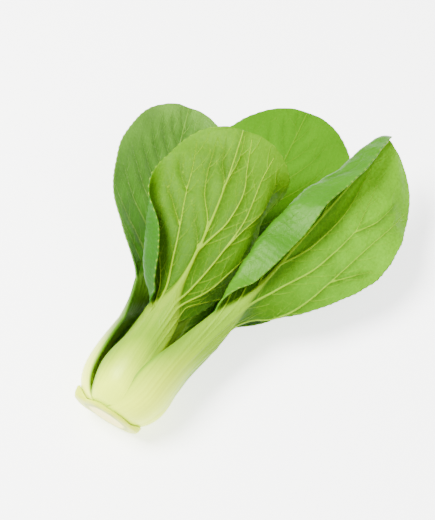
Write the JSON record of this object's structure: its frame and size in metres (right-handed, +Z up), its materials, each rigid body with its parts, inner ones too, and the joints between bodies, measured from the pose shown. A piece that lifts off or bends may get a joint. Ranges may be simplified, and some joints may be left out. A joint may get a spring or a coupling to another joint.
{
  "type": "bok choy",
  "caption": "Head of bok choy lying on its side, with pale spoon-shaped stalks wound round a cut stem base and broad green blades, one folded over.",
  "frame": {"origin": "middle of the head's bounding box, on the surface it lies on", "axes": "+Y from the cut stem base to the leaf tips, +Z up, +X towards the folded leaf"},
  "size_m": [0.1617, 0.2268, 0.0815],
  "materials": {
    "leaf": "fresh leaf, satin with a waxy sheen",
    "inner_leaf": "young leaf, satin",
    "stem": "moist cut flesh, satin"
  },
  "bodies": {
    "root": {"stem_base": "stem", "leaf_right": "leaf", "leaf_left": "leaf", "leaf_under": "leaf", "leaf_top": "leaf", "leaf_low_left": "leaf", "leaf_low_right": "leaf", "inner_leaf_left": "inner_leaf", "inner_leaf_under": "inner_leaf", "inner_leaf_right": "inner_leaf", "heart_leaf": "inner_leaf"}
  },
  "joints": []
}
